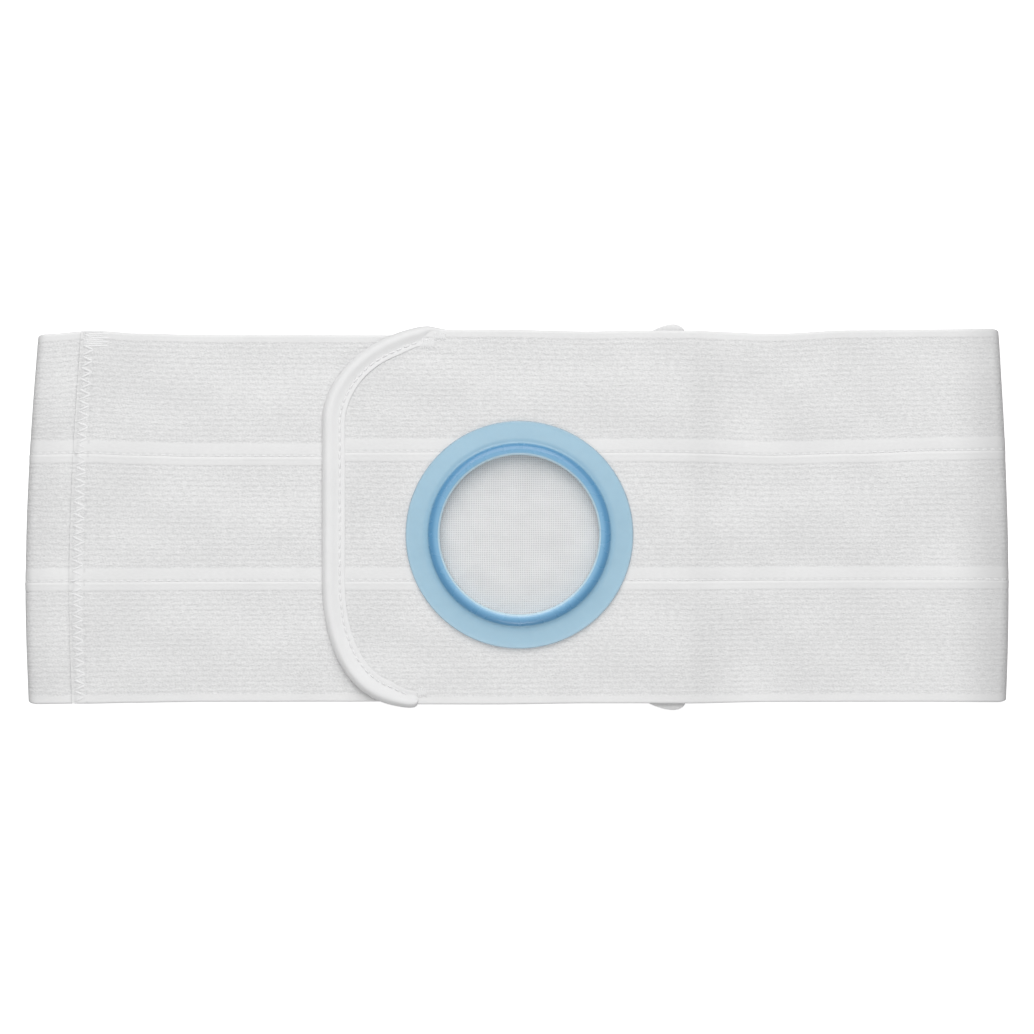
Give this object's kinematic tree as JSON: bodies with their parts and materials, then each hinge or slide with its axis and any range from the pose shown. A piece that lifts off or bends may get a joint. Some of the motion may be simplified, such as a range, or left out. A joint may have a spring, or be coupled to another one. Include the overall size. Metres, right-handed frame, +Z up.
{
  "type": "ostomy support belt",
  "caption": "White elastic support belt for an ostomy, closed and laid flat, with a translucent blue ring at the front for the pouch.",
  "frame": {"origin": "on the surface the belt lies on, below the middle of its outline", "axes": "+X along the belt, to the right as the picture shows it; +Y across the belt to its top edge; +Z up, out of the front face"},
  "size_m": [0.408, 0.1594, 0.0124],
  "materials": {
    "elastic": "ribbed white elastic webbing",
    "tape": "smooth white folded tape",
    "mesh": "fine square white mesh",
    "hook": "white hook tape",
    "ring": "soft translucent blue plastic"
  },
  "bodies": {
    "root": {"elastic_bottom": "elastic", "elastic_middle": "elastic", "elastic_top": "elastic", "flap_elastic_middle": "elastic", "underlap_bottom": "elastic", "underlap_middle": "elastic", "underlap_top": "elastic", "flap_binding": "tape", "underlap_binding": "tape", "belt_ring": "ring", "mesh_patch": "mesh", "hook_strip": "hook"}
  },
  "joints": []
}
